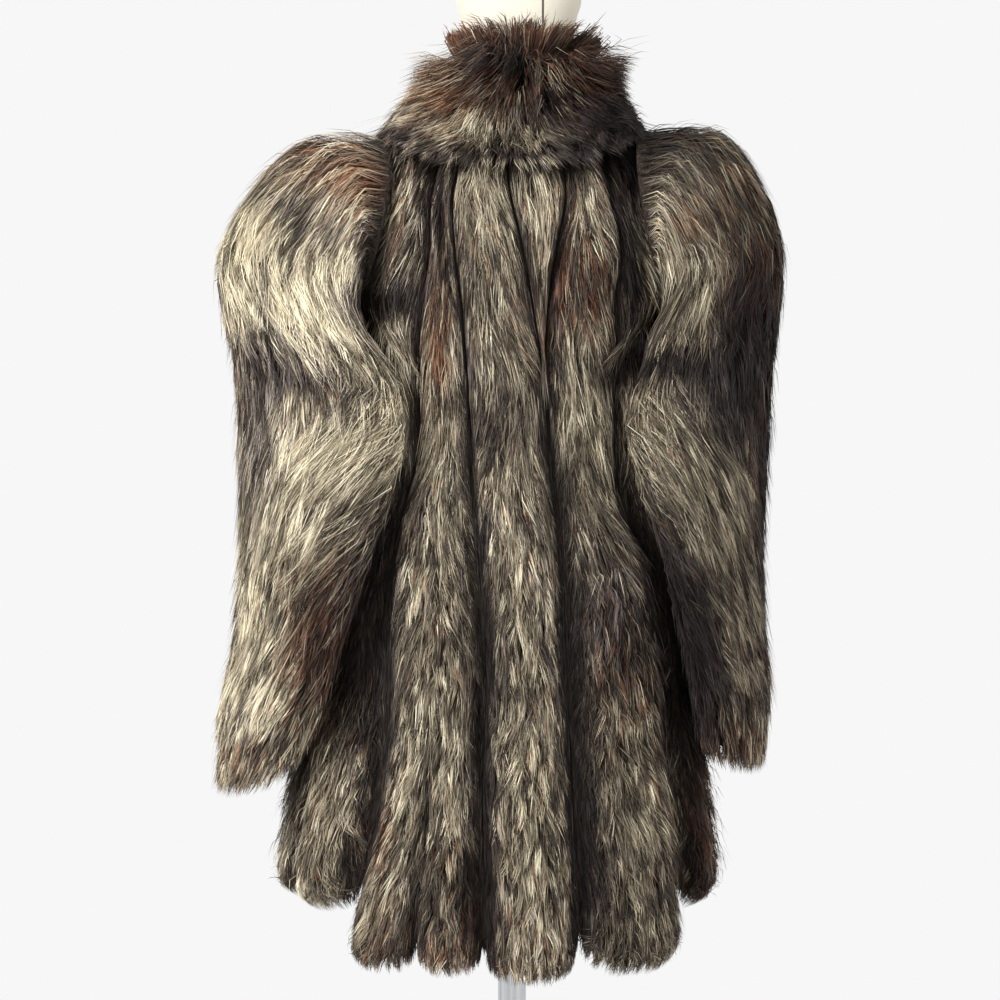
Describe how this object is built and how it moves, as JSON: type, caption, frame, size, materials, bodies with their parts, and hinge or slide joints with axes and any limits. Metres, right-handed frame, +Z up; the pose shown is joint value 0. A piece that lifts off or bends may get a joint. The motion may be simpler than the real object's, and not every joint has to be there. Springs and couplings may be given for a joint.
{
  "type": "fur coat on a dress form",
  "caption": "Long-haired three-quarter fur coat with wide sleeves and a folded standing collar, hanging closed on a limbless dress form with a round base.",
  "frame": {"origin": "centre of the stand base's underside, on the floor", "axes": "+Z up; -Y towards the coat's front; +X towards the wearer's left"},
  "size_m": [0.5694, 0.4239, 1.5383],
  "materials": {
    "body_fur": "long guard hair, cream and brown with dark tips, over dark underfur",
    "sleeve_fur": "long guard hair, cream and brown with dark tips, over dark underfur",
    "collar_fur": "long dark brown guard hair with a rust tint",
    "form_cover": "smooth cream cloth with a dark seam line",
    "cap_wood": "turned and lacquered",
    "pole_steel": "satin",
    "base_paint": "satin enamel"
  },
  "bodies": {
    "root": {"back_pelt_centre": "body_fur", "back_pelt_left": "body_fur", "back_pelt_right": "body_fur", "back_wedge": "body_fur", "shoulder_wedge_left": "body_fur", "shoulder_wedge_right": "body_fur", "side_panel_left": "body_fur", "side_panel_right": "body_fur", "front_side_left": "body_fur", "front_side_right": "body_fur", "front_left": "body_fur", "front_right": "body_fur", "sleeve_left": "sleeve_fur", "sleeve_right": "sleeve_fur", "collar": "collar_fur", "form_body": "form_cover", "neck_cap": "cap_wood", "stand_pole": "pole_steel", "stand_base": "base_paint"}
  },
  "joints": []
}
